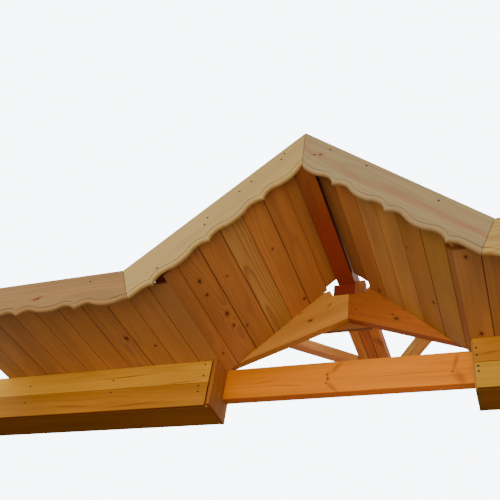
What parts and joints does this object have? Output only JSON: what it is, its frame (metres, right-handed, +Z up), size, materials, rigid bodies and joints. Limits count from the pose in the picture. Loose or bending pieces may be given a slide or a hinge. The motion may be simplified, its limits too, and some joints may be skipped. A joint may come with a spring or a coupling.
{
  "type": "wooden gable roof truss",
  "caption": "Gable bay of a timber roof: truss chords, tie beam and ridge on boxed wall plates, with boarded soffits and scalloped bargeboards mitred to level fascias.",
  "frame": {"origin": "middle of the bounding box in X and Y, at the underside of the wall plates", "axes": "+X along the eaves, across the gable; +Y from the bargeboards back into the roof; +Z up"},
  "size_m": [4.3872, 1.887, 1.0976],
  "materials": {
    "bargeboard_pine": "bare planed pine, sun-bleached",
    "soffit_pine": "bare planed pine boards, warm orange-brown",
    "frame_pine": "bare sawn pine, yellow-orange, knotty",
    "dark_timber": "dark red-brown timber"
  },
  "bodies": {
    "root": {"bargeboard_left": "bargeboard_pine", "bargeboard_right": "bargeboard_pine", "eave_board_left_1": "soffit_pine", "eave_board_left_10": "soffit_pine", "eave_board_left_2": "soffit_pine", "eave_board_left_3": "soffit_pine", "eave_board_left_4": "soffit_pine", "eave_board_left_5": "soffit_pine", "eave_board_left_6": "soffit_pine", "eave_board_left_7": "soffit_pine", "eave_board_left_8": "soffit_pine", "eave_board_left_9": "soffit_pine", "eave_board_right_1": "soffit_pine", "eave_board_right_10": "soffit_pine", "eave_board_right_2": "soffit_pine", "eave_board_right_3": "soffit_pine", "eave_board_right_4": "soffit_pine", "eave_board_right_5": "soffit_pine", "eave_board_right_6": "soffit_pine", "eave_board_right_7": "soffit_pine", "eave_board_right_8": "soffit_pine", "eave_board_right_9": "soffit_pine", "eave_fascia_left": "bargeboard_pine", "eave_fascia_right": "bargeboard_pine", "gable_board_left_1": "soffit_pine", "gable_board_left_2": "soffit_pine", "gable_board_left_3": "soffit_pine", "gable_board_left_4": "soffit_pine", "gable_board_left_5": "soffit_pine", "gable_board_left_6": "soffit_pine", "gable_board_left_7": "soffit_pine", "gable_board_right_1": "soffit_pine", "gable_board_right_2": "soffit_pine", "gable_board_right_3": "soffit_pine", "gable_board_right_4": "soffit_pine", "gable_board_right_5": "soffit_pine", "gable_board_right_6": "soffit_pine", "gable_board_right_7": "soffit_pine", "peak_cleat": "frame_pine", "plate_board_lower_left": "frame_pine", "plate_board_lower_right": "frame_pine", "plate_board_upper_left": "frame_pine", "plate_board_upper_right": "frame_pine", "plate_end_board_left": "frame_pine", "plate_end_board_right": "frame_pine", "rear_ridge_left": "frame_pine", "rear_ridge_middle": "dark_timber", "rear_ridge_right": "frame_pine", "ridge_beam": "dark_timber", "ridge_saddle": "dark_timber", "ridge_side_block": "frame_pine", "tie_beam": "frame_pine", "top_chord_left": "frame_pine", "top_chord_right": "frame_pine", "valley_rafter_left": "frame_pine", "valley_rafter_right": "frame_pine", "verge_plank_left": "dark_timber", "verge_plank_right": "dark_timber", "wall_plate_left": "frame_pine", "wall_plate_right": "frame_pine"}
  },
  "joints": []
}
